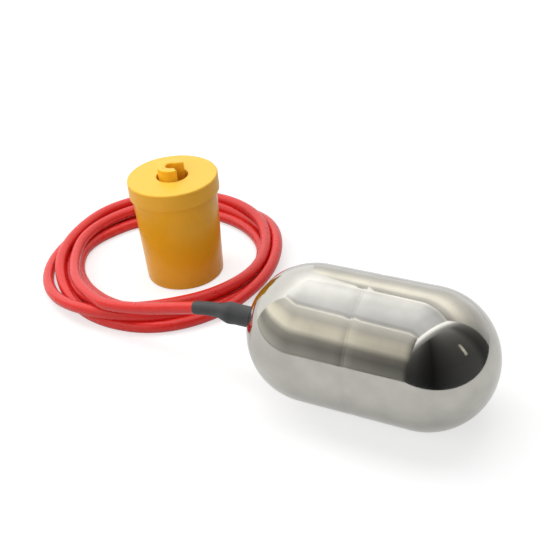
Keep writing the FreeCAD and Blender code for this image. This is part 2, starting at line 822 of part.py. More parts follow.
def moving_blade():
    """Blade with a domed contact rivet at its free end and a rolled bead at its pivot."""
    body = in_switch("moving_blade")
    low = "blade_height - rivet_height / 2"
    high = "blade_height + rivet_height / 2"
    rim = "contact_inset + contact_diameter / 2"
    dome_radius = "(((contact_diameter / 2)^2 + rivet_dome^2) / (2 * rivet_dome))"

    def strip(sketch):
        box_outline(sketch, "contact_inset - contact_diameter / 2", "blade_pivot",
                    "blade_height - blade_thickness / 2", blade_top)

    pad(body, "XZ_Plane", strip, "blade_width", SideType="Symmetric")
    pad(body, "XZ_Plane", lambda sketch: circle(sketch, "blade_pivot", "blade_height", "bead_diameter / 2"),
        "blade_width", SideType="Symmetric")
    rivet = sketch_on(body, "XZ_Plane")
    outline(rivet, [
        ("contact_inset", low), (rim, low + " + rivet_dome"), (rim, high + " - rivet_dome"),
        ("contact_inset", high),
    ], {0: (dome_radius, 1), 2: (dome_radius, 1)})
    doc.recompute()
    feature(body, "Revolution", rivet, {"Angle": "360"}, ReferenceAxis=(rivet, ["Edge4"]))


def microswitch_screws():
    """Two pan-head screws that hold the snap switch to the chassis bosses."""
    body = in_switch("microswitch_screws")
    pad(body, "XZ_Plane", at_screws("screw_head"), "screw_head_height",
        offset="-switch_thickness / 2 - screw_head_height", AllowMultiFace=True)
    pad(body, "XZ_Plane", at_screws("(screw_shank - 2 * screw_bite)"), "screw_length",
        offset="-switch_thickness / 2", AllowMultiFace=True)


# Counterweight.
weight_bore = "(passage_diameter / 2)"
shoulder = "(weight_shoulder / 2)"
rim_top = "(lid_top - lid_plate)"
taper = "((weight_shoulder - weight_foot) / 2 / lid_base)"
socket_bore = "(lid_hole / 2)"


def weight_shell():
    """Tapered cup with a central tube for the cable."""
    body = in_weight("weight_shell")
    foot = "weight_foot / 2"
    tube = weight_bore + " + passage_wall"
    spin(body, [
        (weight_bore, "0"),
        (foot + " - weight_foot_round", "0"),
        (foot + " + weight_foot_round * " + taper, "weight_foot_round"),
        (shoulder, "lid_base"),
        (shoulder, rim_top),
        (shoulder + " - weight_wall", rim_top),
        (shoulder + " - weight_wall", "lid_base"),
        (foot + " - weight_wall + weight_base * " + taper, "weight_base"),
        (tube, "weight_base"),
        (tube, "socket_floor_z"),
        (weight_bore, "socket_floor_z"),
    ], {1: ("weight_foot_round", 1)}, axis="V_Axis")


def weight_lid():
    """Lid with a skirt over the cup's rim and a socket for the clamp ring."""
    body = in_weight("weight_lid")
    outer = "lid_diameter / 2"
    skirt = shoulder + " + lid_fit"
    socket_outer = socket_bore + " + socket_wall"
    spin(body, [
        (weight_bore, "socket_floor_z"),
        (socket_outer, "socket_floor_z"),
        (socket_outer, rim_top),
        (skirt, rim_top),
        (skirt, "lid_base"),
        (outer, "lid_base"),
        (outer, "lid_top - lid_edge"),
        (outer + " - lid_edge", "lid_top"),
        (socket_bore + " + lid_hole_edge", "lid_top"),
        (socket_bore, "lid_top - lid_hole_edge"),
        (socket_bore, "socket_floor_z + socket_floor"),
        (weight_bore, "socket_floor_z + socket_floor"),
    ], {6: ("lid_edge", 1), 8: ("lid_hole_edge", 1)}, axis="V_Axis")


def weight_ballast():
    """Cast iron ring that loads the bottom of the cup."""
    body = in_weight("weight_ballast", "weight_base")
    side = "weight_foot / 2 - weight_wall - ballast_fit"
    hole = weight_bore + " + passage_wall + ballast_fit"
    spin(body, [
        (hole, "0"),
        (side + " + weight_base * " + taper, "0"),
        (side + " + (weight_base + ballast_depth) * " + taper, "ballast_depth"),
        (hole, "ballast_depth"),
    ], axis="V_Axis")


def cable_clamp_ring():
    """Thick split ring that stands in the lid's socket and grips the cable."""
    body = in_weight("cable_clamp_ring", "socket_floor_z + socket_floor")
    turn(body, Vector(0, 0, 1), "clamp_turn")
    height = "(lid_top + clamp_stand - socket_floor_z - socket_floor)"
    spin(body, [
        ("clamp_bore / 2", "0"),
        ("clamp_outer / 2", "0"),
        ("clamp_outer / 2", height + " - clamp_edge"),
        ("clamp_outer / 2 - clamp_edge", height),
        ("clamp_bore / 2 + clamp_edge", height),
        ("clamp_bore / 2", height + " - clamp_edge"),
    ], {2: ("clamp_edge", 1), 4: ("clamp_edge", 1)}, axis="V_Axis", angle="clamp_arc")


# Cable, cores and what they are swept along.
def bent_path(points, arc_share=0.45):
    """Straight runs joined by tangent arcs, as a wire, and the smallest arc's radius.

    Each arc takes arc_share of the shorter of the two runs that it joins.
    """
    edges = []
    radii = []
    reached = points[0]
    for before, corner, after in zip(points, points[1:], points[2:]):
        back = before - corner
        ahead = after - corner
        half_turn = (math.pi - back.getAngle(ahead)) / 2
        setback = arc_share * min(back.Length, ahead.Length)
        radii.append(setback / math.tan(half_turn))
        arc_start = corner + back.normalize() * setback
        arc_end = corner + ahead.normalize() * setback
        inward = (back + ahead).normalize()
        arc_middle = corner + inward * radii[-1] * (1 / math.cos(half_turn) - 1)
        edges.append(Part.LineSegment(reached, arc_start).toShape())
        edges.append(Part.Arc(arc_start, arc_middle, arc_end).toShape())
        reached = arc_end
    edges.append(Part.LineSegment(reached, points[-1]).toShape())
    return Part.Wire(edges), min(radii, default=0)


def tube(label, points, diameter, keep=True):
    """Sweep a bound circle along a route of runs and arcs."""
    wire, tightest = bent_path(points)
    path = doc.addObject("Part::Feature", label + "_path")
    path.Shape = wire
    ring = doc.addObject("Part::Circle", label + "_section")
    bind(ring, {"Radius": "(%s) / 2" % diameter})
    along = (points[1] - points[0]).normalize()
    ring.Placement = FreeCAD.Placement(points[0], FreeCAD.Rotation(Vector(0, 0, 1), along))
    sweep = doc.addObject("Part::Sweep", label)
    sweep.Label = label
    sweep.Sections = [ring]
    sweep.Spine = (path, ["Edge%d" % (number + 1) for number in range(len(wire.Edges))])
    sweep.Solid = True
    sweep.Frenet = False
    if keep:
        sub_parts.append(sweep)
    doc.recompute()
    section = math.pi * value(diameter) ** 2 / 4
    if abs(sweep.Shape.Volume / (section * wire.Length) - 1) > 0.01:
        raise RuntimeError(label + " doesn't have the volume of its section times its length")
    print("%s: %.1f long, tightest radius %.1f" % (label, wire.Length, tightest))
    return sweep


def lead_route():
    """The cable's route outside the float: off the nipple, then down to the coil."""
    nipple_end = Vector(value("pole_x - nipple_reach"), value("axis_y"), value("float_radius"))
    first_bend = nipple_end - Vector(LEAD_BEND, 0, 0)
    return [nipple_end, first_bend] + [Vector(*point) for point in LEAD_POINTS]


def cable_entry():
    """The stretch of cable that the nipple holds."""
    body = in_float("cable_entry", "(-nipple_reach)")
    pad(body, "YZ_Plane", lambda sketch: circle(sketch, "0", "0", cable_radius),
        "nipple_reach + " + entry_end)
    return body


def cable_coil():
    """The coiled cable, as one ring of the coil's outer shape."""
    body = new_body("cable_coil", "coil_x", "coil_y", "0")
    inner = "coil_inner / 2"
    outer = "coil_outer / 2"
    spin(body, [
        (inner, "coil_round"), (inner + " + coil_round", "0"), (outer + " - coil_round", "0"),
        (outer, "coil_round"), (outer, "coil_height - coil_round"),
        (outer + " - coil_round", "coil_height"), (inner + " + coil_round", "coil_height"),
        (inner, "coil_height - coil_round"),
    ], {number: ("coil_round", 1) for number in (0, 2, 4, 6)}, axis="V_Axis")


def heat_shrink_sleeve(inside):
    """Shrunk sleeve: a blank over the nipple and the bend, less everything that it has shrunk on to."""
    blank = doc.addObject("PartDesign::Body", "sleeve_blank")
    place(blank, "pole_x", "axis_y", "float_radius")
    front_end = on_sphere("float_radius", nipple_radius, "float_radius") + " - weld_leg - sleeve_end_gap"
    thick = nipple_radius + " + sleeve_over_nipple"
    spin(blank, [
        (front_end, "0"),
        (front_end, thick),
        ("-nipple_reach + bead_length", thick),
        ("-nipple_reach + bead_length / 2", thick + " + bead_height"),
        ("-nipple_reach", thick),
        ("-nipple_reach - sleeve_taper", cable_radius + " + sleeve_over_cable"),
        ("-nipple_reach - sleeve_taper", "0"),
    ])
    points = lead_route()
    start = points[0] - Vector(value("sleeve_taper - sleeve_overlap"), 0, 0)
    way = (points[2] - points[1]).normalize()
    bend = tube("sleeve_bend", [start, points[1], points[1] + way * SLEEVE_REACH],
                "cable_diameter + 2 * sleeve_over_cable", keep=False)
    outer = doc.addObject("Part::MultiFuse", "sleeve_outer")
    outer.Shapes = [blank, bend]
    core = doc.addObject("Part::MultiFuse", "sleeve_core")
    core.Shapes = inside
    sleeve = doc.addObject("Part::Cut", "heat_shrink_sleeve")
    sleeve.Label = "heat_shrink_sleeve"
    sleeve.Base = outer
    sleeve.Tool = core
    sub_parts.append(sleeve)


def in_float_point(forward, aside, up):
    """A point given forward from the rear pole, aside and up from the float's axis."""
    return Vector(value("pole_x") + forward, value("axis_y") + aside, value("float_radius") + up)


def core_spots():
    """Where the three cores lie across the cable, as offsets aside and up."""
    reach = value("core_circle")
    return {name: (reach * math.cos(math.radians(angle)), reach * math.sin(math.radians(angle)))
            for name, angle in CORE_ANGLES.items()}


def inner_cores():
    """Three cores from the jacket's end to the snap switch's tabs."""
    start = value(entry_end)
    rear_tab = value(switch_forward + " - tab_reach")
    tab_middle = value("tab_thickness / 2")
    upper = value(switch_up + " + " + nc_height) + tab_middle
    lower = value(switch_up + " + " + no_height) + tab_middle
    front = value(switch_up + " + " + com_height) + tab_middle
    front_tab = value(switch_forward + " + switch_length + tab_reach / 2")
    beside = value("switch_thickness / 2 + screw_head_height + core_diameter / 2 + core_gap")
    spots = core_spots()
    routes = {
        "blue": [(start + BLUE_BENDS[0], *spots["blue"]), (start + BLUE_BENDS[1], 0, upper),
                 (rear_tab, 0, upper)],
        "black": [(start + BLACK_BENDS[0], *spots["black"]), (start + BLACK_BENDS[1], 0, lower),
                  (rear_tab, 0, lower)],
        "brown": [(start + BROWN_BENDS[0], *spots["brown"]),
                  (start + BROWN_BENDS[1], beside, front + BROWN_RISE),
                  (front_tab - BROWN_RUN, beside, front), (front_tab, beside, front),
                  (front_tab, value("tab_width / 2"), front)],
    }
    return [tube("core_" + name, [in_float_point(start, *spots[name])] +
                 [in_float_point(*point) for point in route], "core_diameter")
            for name, route in routes.items()]


def potting(inside):
    """Resin that fills the cap round the cable's end, less everything that it has set round."""
    blank = doc.addObject("PartDesign::Body", "potting_blank")
    place(blank, "pole_x", "axis_y", "float_radius")
    wall = case_bore + " - case_fit - cap_spigot_wall"
    level = "max(%s; %s) + potting_depth" % (cap_rear, entry_end)
    spin(blank, [
        (hub_front, nipple_radius), (stub_end, nipple_radius), (stub_end, "0"),
        (level, "0"), (level, wall), (cap_rear, wall), (hub_front, "cap_hub_diameter / 2 - case_wall"),
    ])
    core = doc.addObject("Part::MultiFuse", "potting_core")
    core.Shapes = inside
    resin = doc.addObject("Part::Cut", "potting")
    resin.Label = "potting"
    resin.Base = blank
    resin.Tool = core
    sub_parts.append(resin)


def wire_ferrule(label, core_end, way):
    """Crimped ferrule: a flared collar that takes the core's end, and a plain pin."""
    body = doc.addObject("PartDesign::Body", label)
    body.Label = label
    bore = "core_diameter / 2 + collar_fit"
    bore_end = "collar_length - collar_floor"
    pin_start = "collar_length + collar_cone"
    pin_end = "collar_length + collar_cone + ferrule_length"
    mouth = core_end - way * value(bore_end)
    body.Placement = FreeCAD.Placement(mouth, FreeCAD.Rotation(Vector(0, 0, 1), way))
    sub_parts.append(body)
    spin(body, [
        (bore, "0"), ("collar_diameter / 2", "0"), ("collar_diameter / 2", "collar_length"),
        ("ferrule_diameter / 2", pin_start), ("ferrule_diameter / 2", pin_end),
        ("0", pin_end), ("0", bore_end), (bore, bore_end),
    ], axis="V_Axis")


def stripped_end():
    """Three cores fanned out of the jacket's end, down to the height at which their ferrules lie."""
    before, jacket_end = [Vector(x, y, value(cable_radius)) for x, y in TAIL_POINTS[-2:]]
    along = (jacket_end - before).normalize()
    across = Vector(-along.y, along.x, 0)
    drop = value("collar_diameter / 2 - " + cable_radius)
    for name, (aside, up) in core_spots().items():
        lead_out = [jacket_end + across * aside + Vector(0, 0, up)]
        for (reach, widening), height in zip(FAN_BENDS, (up, drop, drop)):
            lead_out.append(jacket_end + along * reach + across * aside * widening + Vector(0, 0, height))
        tube("tail_core_" + name, lead_out, "core_diameter")
        wire_ferrule("ferrule_" + name, lead_out[-1], (lead_out[-1] - lead_out[-2]).normalize())


def cable_tail():
    """The cable's last stretch, from inside the coil to the end of its jacket."""
    tube("cable_tail", [Vector(x, y, value(cable_radius)) for x, y in TAIL_POINTS], "cable_diameter")


rear_shell()
front_shell()
weld_seam()
cable_nipple()
nipple_weld()
seal_bush()
cable_crimp()
lock_nut()
inner_case()
inner_cap()
cap_seal_ring()
switch_chassis()
rocker()
rocker_pin()
steel_ball()
microswitch_base()
microswitch_cover()
plunger()
nc_terminal()
no_terminal()
common_terminal()
moving_blade()
microswitch_screws()
weight_shell()
weight_lid()
weight_ballast()
cable_clamp_ring()
cable_coil()
cable_tail()
stripped_end()
entry = cable_entry()
lead = tube("cable_lead", lead_route(), "cable_diameter")
held = {body.Name: body for body in sub_parts}
heat_shrink_sleeve([held["cable_nipple"], held["nipple_weld"], entry, lead])
potting([held["lock_nut"], held["cable_crimp"], entry] + inner_cores())

doc.recompute()
for item in doc.Objects:
    if "Invalid" in item.State or "Error" in item.State:
        raise RuntimeError("%s failed: %s" % (item.Name, item.State))
for item in sub_parts:
    if item.Shape.isNull() or not item.Shape.isValid():
        raise RuntimeError("%s has no valid shape" % item.Label)

os.makedirs("parts", exist_ok=True)
for item in sub_parts:
    item.Shape.exportStep("parts/%s.step" % item.Label)
    print("%-20s %d solid(s) %10.1f mm3" % (item.Label, len(item.Shape.Solids), item.Shape.Volume))
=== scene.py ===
import math

import bmesh
import bpy
from mathutils import Matrix, Vector


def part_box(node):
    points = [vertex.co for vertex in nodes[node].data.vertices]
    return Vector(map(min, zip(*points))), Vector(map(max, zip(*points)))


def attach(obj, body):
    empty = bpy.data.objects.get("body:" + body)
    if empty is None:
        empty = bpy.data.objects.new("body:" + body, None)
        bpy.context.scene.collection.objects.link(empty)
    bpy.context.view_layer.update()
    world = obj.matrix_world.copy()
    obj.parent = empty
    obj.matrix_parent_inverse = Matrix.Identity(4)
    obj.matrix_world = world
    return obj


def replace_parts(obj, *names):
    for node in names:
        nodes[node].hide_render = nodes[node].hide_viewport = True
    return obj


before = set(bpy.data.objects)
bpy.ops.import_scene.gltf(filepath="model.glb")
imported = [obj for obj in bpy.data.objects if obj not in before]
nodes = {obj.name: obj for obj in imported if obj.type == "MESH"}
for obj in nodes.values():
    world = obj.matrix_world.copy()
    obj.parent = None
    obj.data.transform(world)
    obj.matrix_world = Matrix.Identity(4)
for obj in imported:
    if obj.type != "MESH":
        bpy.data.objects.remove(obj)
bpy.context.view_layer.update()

MM = 0.001
UP = Vector((0.0, 0.0, 1.0))
WHITE = (1.0, 1.0, 1.0, 1.0)

# The float's size and its rear pole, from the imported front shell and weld.
shell_low, shell_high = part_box("front_shell")
seam_low, seam_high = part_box("weld_seam")
FLOAT_RADIUS = (shell_high.z - shell_low.z) / 2
FLOAT_LENGTH = 2 * shell_high.x - seam_low.x - seam_high.x
SEAM_HALF = (seam_high.x - seam_low.x) / 2
POLE = Vector((shell_high.x - FLOAT_LENGTH, (shell_low.y + shell_high.y) / 2, FLOAT_RADIUS))

# Sizes and a place that the part's source names too.
SHELL_WALL = 0.8 * MM
NIPPLE_RADIUS = 5.3 * MM
CABLE_DIAMETER = 7.4 * MM
WEIGHT_AXIS = Vector((-103.3, 44.3)) * MM

# Sockets of the colour mix node, which has one set of them for each kind of data.
MIX_SHARE, MIX_FIRST, MIX_SECOND, MIX_RESULT = 0, 6, 7, 2


# ---------------------------------------------------------------- materials

# Noise values at which a wandering colour and a wandering roughness reach their two ends.
MOTTLE_RANGE = (0.35, 0.65)
POLISH_RANGE = (0.3, 0.7)
# How far a face looks up where painted light from above starts to make it paler and where it is palest: 1
# is straight up.
PAINTED_TOP_RANGE = (0.5, 0.95)
# Noise scales of the wandering colour and shine, per metre.
METAL_MOTTLE = 60.0
PLASTIC_MOTTLE = 45.0
PLASTIC_SHINE = 120.0
# The darker shade as a share of the paler one.
METAL_DARK = 0.88
YELLOW_DARK = 0.93
# Marks of turning and rolling, and the grain of moulded plastic.
MARK_DEPTH = 0.01 * MM
MARK_STRENGTH = 0.25
GRAIN_DEPTH = 0.02 * MM
GRAIN_STRENGTH = 0.3
GRAIN_DETAIL = 2.0


def finish(name, color, roughness, metallic=0.0, **inputs):
    """A new node material; further shader inputs are given by name with underscores for spaces."""
    made = bpy.data.materials.new(name)
    made.use_nodes = True
    shader = made.node_tree.nodes["Principled BSDF"]
    shader.inputs["Base Color"].default_value = (*color, 1.0)
    shader.inputs["Roughness"].default_value = roughness
    shader.inputs["Metallic"].default_value = metallic
    for key, value in inputs.items():
        shader.inputs[key.replace("_", " ")].default_value = value
    return made


def pattern(made, scale, stretch=(1.0, 1.0, 1.0), detail=4.0):
    """Noise in the object's own space, stretched along the axes; gives the socket of its value."""
    tree = made.node_tree
    place = tree.nodes.new("ShaderNodeTexCoord")
    turn = tree.nodes.new("ShaderNodeMapping")
    turn.inputs["Scale"].default_value = stretch
    noise = tree.nodes.new("ShaderNodeTexNoise")
    noise.inputs["Scale"].default_value = scale
    noise.inputs["Detail"].default_value = detail
    tree.links.new(place.outputs["Object"], turn.inputs["Vector"])
    tree.links.new(turn.outputs["Vector"], noise.inputs["Vector"])
    return noise.outputs["Fac"]


def mottle(made, source, dark, pale):
    """Base colour that wanders between two shades."""
    tree = made.node_tree
    ramp = tree.nodes.new("ShaderNodeValToRGB")
    for stop, place, shade in zip(ramp.color_ramp.elements, MOTTLE_RANGE, (dark, pale)):
        stop.position = place
        stop.color = (*shade, 1.0)
    tree.links.new(source, ramp.inputs["Fac"])
    tree.links.new(ramp.outputs["Color"], tree.nodes["Principled BSDF"].inputs["Base Color"])


def spread(tree, given, wanted):
    """A map range node from one pair of limits to another."""
    made = tree.nodes.new("ShaderNodeMapRange")
    made.inputs["From Min"].default_value, made.inputs["From Max"].default_value = given
    made.inputs["To Min"].default_value, made.inputs["To Max"].default_value = wanted
    return made


def polish(made, source, least, most):
    """Roughness that wanders between two values."""
    tree = made.node_tree
    span = spread(tree, POLISH_RANGE, (least, most))
    tree.links.new(source, span.inputs["Value"])
    tree.links.new(span.outputs["Result"], tree.nodes["Principled BSDF"].inputs["Roughness"])


def relief(made, source, depth, strength):
    """Bump of the given depth in metres."""
    tree = made.node_tree
    bump = tree.nodes.new("ShaderNodeBump")
    bump.inputs["Strength"].default_value = strength
    bump.inputs["Distance"].default_value = depth
    tree.links.new(source, bump.inputs["Height"])
    tree.links.new(bump.outputs["Normal"], tree.nodes["Principled BSDF"].inputs["Normal"])


def brushed(name, color, least, most, scale=900.0, stretch=(0.05, 1.0, 1.0)):
    """Metal with turning or rolling marks."""
    made = finish(name, color, least, metallic=1.0)
    marks = pattern(made, scale, stretch)
    polish(made, marks, least, most)
    relief(made, marks, MARK_DEPTH, MARK_STRENGTH)
    mottle(made, pattern(made, METAL_MOTTLE), tuple(METAL_DARK * c for c in color), color)
    return made


def moulded(name, dark, pale, least, most, grain=1800.0, depth=GRAIN_DEPTH, **inputs):
    """Plastic or rubber with a fine moulded grain and a slightly uneven colour."""
    made = finish(name, pale, least, **inputs)
    mottle(made, pattern(made, PLASTIC_MOTTLE), dark, pale)
    polish(made, pattern(made, PLASTIC_SHINE), least, most)
    relief(made, pattern(made, grain, detail=GRAIN_DETAIL), depth, GRAIN_STRENGTH)
    return made


def yellow_with_painted_top_light(name, side, top, least, most, **inputs):
    """Yellow plastic, amber on its walls, with painted light from above that makes the faces that look up
    paler.
    """
    made = moulded(name, tuple(YELLOW_DARK * c for c in side), side, least, most, **inputs)
    tree = made.node_tree
    # Painted light: the more a face looks up, the more its colour turns to the paler top yellow.
    place = tree.nodes.new("ShaderNodeTexCoord")
    split = tree.nodes.new("ShaderNodeSeparateXYZ")
    share = spread(tree, PAINTED_TOP_RANGE, (0.0, 1.0))
    both = tree.nodes.new("ShaderNodeMix")
    both.data_type = "RGBA"
    both.inputs[MIX_SECOND].default_value = (*top, 1.0)
    shade = tree.nodes["Principled BSDF"].inputs["Base Color"]
    tree.links.new(place.outputs["Normal"], split.inputs[0])
    tree.links.new(split.outputs["Z"], share.inputs["Value"])
    tree.links.new(share.outputs["Result"], both.inputs[MIX_SHARE])
    tree.links.new(shade.links[0].from_socket, both.inputs[MIX_FIRST])
    tree.links.new(both.outputs[MIX_RESULT], shade)
    return made


# The paler yellow of faces that look up, which is painted light from above, and two ways in which the
# yellow plastic takes light.
PAINTED_TOP_LIGHT = (0.98, 0.60, 0.062)
DULL = {"Specular_IOR_Level": 0.26}
MILKY = {**DULL, "Subsurface_Weight": 0.5, "Subsurface_Radius": (1.0, 0.3, 0.03), "Subsurface_Scale": 0.006}

# Colour, or its dark and pale shades, then the least and most roughness. After these come the scale
# and stretch of a metal's marks, or the scale of a plastic's grain, where they aren't the usual ones.
looks = {
    "mirror_steel": brushed("mirror_steel", (0.525, 0.512, 0.468), 0.045, 0.1, 300.0, (0.4, 1.0, 1.0)),
    "weld_steel": brushed("weld_steel", (0.52, 0.507, 0.463), 0.05, 0.11),
    "turned_steel": brushed("turned_steel", (0.66, 0.65, 0.63), 0.2, 0.38, 1500.0, (1.0, 0.05, 0.05)),
    "bearing_steel": brushed("bearing_steel", (0.70, 0.70, 0.71), 0.04, 0.1, 200.0, (1.0, 1.0, 1.0)),
    "cast_ballast": brushed("cast_ballast", (0.30, 0.30, 0.31), 0.5, 0.75, 500.0, (1.0, 1.0, 1.0)),
    # The three yellows below carry painted light: their faces that look up turn to the paler top yellow.
    "lid_yellow": yellow_with_painted_top_light("lid_yellow", (0.97, 0.50, 0.04), PAINTED_TOP_LIGHT, 0.32, 0.42, **DULL),
    "cup_yellow": yellow_with_painted_top_light("cup_yellow", (0.94, 0.48, 0.02), PAINTED_TOP_LIGHT, 0.2, 0.28, **DULL),
    "clamp_yellow": yellow_with_painted_top_light("clamp_yellow", (1.0, 0.52, 0.02), PAINTED_TOP_LIGHT, 0.32, 0.42, **MILKY),
    "cable_red": moulded("cable_red", (0.73, 0.021, 0.016), (0.76, 0.023, 0.018), 0.26, 0.32,
                         grain=900.0, depth=0.002 * MM, Specular_IOR_Level=0.5),
    "sleeve_black": moulded("sleeve_black", (0.030, 0.031, 0.033), (0.045, 0.046, 0.048), 0.42, 0.6),
    "bush_rubber": moulded("bush_rubber", (0.02, 0.02, 0.02), (0.03, 0.03, 0.03), 0.6, 0.8),
    "case_grey": moulded("case_grey", (0.33, 0.34, 0.35), (0.37, 0.38, 0.39), 0.4, 0.55),
    "chassis_white": moulded("chassis_white", (0.74, 0.73, 0.70), (0.80, 0.79, 0.76), 0.35, 0.5),
    "switch_black": moulded("switch_black", (0.022, 0.022, 0.024), (0.032, 0.032, 0.034), 0.35, 0.5),
    "plunger_red": moulded("plunger_red", (0.55, 0.03, 0.02), (0.62, 0.04, 0.03), 0.3, 0.45),
    "terminal_brass": brushed("terminal_brass", (0.78, 0.57, 0.25), 0.18, 0.32),
    "spring_bronze": brushed("spring_bronze", (0.72, 0.42, 0.22), 0.16, 0.3),
    "resin_amber": moulded("resin_amber", (0.20, 0.09, 0.02), (0.27, 0.13, 0.03), 0.1, 0.2, 300.0),
    "core_blue_skin": moulded("core_blue_skin", (0.02, 0.10, 0.42), (0.03, 0.14, 0.50), 0.35, 0.5),
    "core_black_skin": moulded("core_black_skin", (0.015, 0.015, 0.015), (0.03, 0.03, 0.03), 0.35, 0.5),
    "core_brown_skin": moulded("core_brown_skin", (0.15, 0.055, 0.02), (0.20, 0.08, 0.03), 0.35, 0.5),
    "ferrule_tin": brushed("ferrule_tin", (0.70, 0.70, 0.68), 0.25, 0.4, 1200.0, (1.0, 1.0, 1.0)),
}

# The CAD nodes that each finish is given to.
CARRIED = {
    "mirror_steel": ("rear_shell", "front_shell"),
    "weld_steel": ("weld_seam", "nipple_weld"),
    "turned_steel": ("cable_nipple", "cable_crimp", "lock_nut", "rocker_pin", "microswitch_screws"),
    "bearing_steel": ("steel_ball",),
    "cast_ballast": ("weight_ballast",),
    "lid_yellow": ("weight_lid",),
    "cup_yellow": ("weight_shell",),
    "clamp_yellow": ("cable_clamp_ring",),
    "cable_red": ("cable_entry", "cable_lead", "cable_coil", "cable_tail"),
    "sleeve_black": ("heat_shrink_sleeve",),
    "bush_rubber": ("seal_bush", "cap_seal_ring"),
    "case_grey": ("inner_case", "inner_cap"),
    "chassis_white": ("switch_chassis", "rocker"),
    "switch_black": ("microswitch_base", "microswitch_cover"),
    "plunger_red": ("plunger",),
    "terminal_brass": ("nc_terminal", "no_terminal", "common_terminal"),
    "spring_bronze": ("moving_blade",),
    "resin_amber": ("potting",),
    "core_blue_skin": ("core_blue", "tail_core_blue"),
    "core_black_skin": ("core_black", "tail_core_black"),
    "core_brown_skin": ("core_brown", "tail_core_brown"),
    "ferrule_tin": ("ferrule_blue", "ferrule_black", "ferrule_brown"),
}
for look, names in CARRIED.items():
    for name in names:
        for held in nodes[name].material_slots:
            held.material = looks[look]


def piece(name, shape, look):
    """A new object on the root body, with the finish of one of the record's slots."""
    made = bpy.data.objects.new(name, shape)
    bpy.context.scene.collection.objects.link(made)
    made.data.materials.append(looks[look])
    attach(made, "root")
    return made


def bridge(mesh, rings):
    """Faces between each ring of corners and the next, and between the last and the first."""
    for first, second in zip(rings, rings[1:] + rings[:1]):
        for k, corner in enumerate(first):
            n = (k + 1) % len(first)
            mesh.faces.new((corner, first[n], second[n], second[k]))
    bmesh.ops.recalc_face_normals(mesh, faces=mesh.faces)


def smooth_piece(name, mesh, look, sharp_angle):
    """A piece from mesh code, shaded smooth but for the edges over an angle in degrees."""
    shape = bpy.data.meshes.new(name)
    mesh.to_mesh(shape)
    mesh.free()
    shape.polygons.foreach_set("use_smooth", [True] * len(shape.polygons))
    shape.set_sharp_from_angle(angle=math.radians(sharp_angle))
    return piece(name, shape, look)


# ---------------------------------------------------------------- float shells

FLOAT_SIDES = 128
DOME_STEPS = 40
FLAT_STEPS = 24
TAPER_STEPS = 8
# Edges over this many degrees stay sharp.
FLOAT_SHARP = 35
# The shells' slight fall towards the weld.
SEAM_TAPER = 4.5 * MM
SEAM_DIP = 0.1 * MM
# The hole round the nipple, and the pinhole left at the far pole.
HOLE_RADIUS = NIPPLE_RADIUS + 0.1 * MM
PINHOLE_RADIUS = 0.02 * MM
# How far inside the shells' bore the weld's foot lies.
LAP_CLEARANCE = 0.05 * MM
# Places across the weld's face, as shares of its half width.
WELD_FACE = (-0.98, -0.5, 0.0, 0.5, 0.98)

middle = FLOAT_LENGTH / 2
bore = FLOAT_RADIUS - SHELL_WALL
taper_start = middle - SEAM_HALF - SEAM_TAPER


def turned(name, outline, look):
    """A solid of revolution about the float's axis, from (distance from the pole, radius) corners."""
    mesh = bmesh.new()
    rings = []
    for forward, radius in outline:
        ring = []
        for k in range(FLOAT_SIDES):
            angle = math.tau * k / FLOAT_SIDES
            across = Vector((forward, radius * math.cos(angle), radius * math.sin(angle)))
            ring.append(mesh.verts.new(POLE + across))
        rings.append(ring)
    bridge(mesh, rings)
    return smooth_piece(name, mesh, look, FLOAT_SHARP)


def dome(radius, hole):
    """Corners on a sphere about the dome's centre, from the hole's radius out to the full radius."""
    first = math.asin(hole / radius)
    corners = []
    for k in range(DOME_STEPS + 1):
        angle = first + (math.pi / 2 - first) * k / DOME_STEPS
        corners.append((FLOAT_RADIUS - radius * math.cos(angle), radius * math.sin(angle)))
    return corners


def straight():
    """Corners along the straight part."""
    reach = taper_start - FLOAT_RADIUS
    return [(FLOAT_RADIUS + reach * k / FLAT_STEPS, FLOAT_RADIUS) for k in range(1, FLAT_STEPS)]


def seam_taper():
    """Corners of the slight fall towards the weld."""
    corners = []
    for k in range(TAPER_STEPS + 1):
        share = k / TAPER_STEPS
        corners.append((taper_start + SEAM_TAPER * share, FLOAT_RADIUS - SEAM_DIP * share ** 2))
    return corners


def half_shell(hole):
    """Closed outline of one half of the float, from its hole along the outside and back along the bore."""
    outside = dome(FLOAT_RADIUS, hole) + straight() + seam_taper()
    inside = [(middle - SEAM_HALF, bore)] + dome(bore, hole)[::-1]
    return outside + inside


rear = turned("rear_shell_polished", half_shell(HOLE_RADIUS), "mirror_steel")
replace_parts(rear, "rear_shell")

mirrored = [(FLOAT_LENGTH - forward, radius) for forward, radius in half_shell(PINHOLE_RADIUS)]
front = turned("front_shell_polished", mirrored, "mirror_steel")
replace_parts(front, "front_shell")

lap = bore - LAP_CLEARANCE
face = [(middle + SEAM_HALF * share, FLOAT_RADIUS - SEAM_DIP) for share in WELD_FACE]
section = [(middle - SEAM_HALF, lap)] + face + [(middle + SEAM_HALF, lap)]
weld = turned("weld_seam_polished", section, "weld_steel")
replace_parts(weld, "weld_seam")


# ---------------------------------------------------------------- cable

# The cable's route, in millimetres: its lead from the nipple, its turns and its tail.
LEAD = ((-21.8, -35.7, 37.5), (-35.0, -35.7, 37.5), (-58.0, -34.2, 30.5), (-86.0, -33.2, 22.5),
        (-110.0, -32.0, 18.5))
COIL_CENTRE = Vector((-120.5, 45.2))
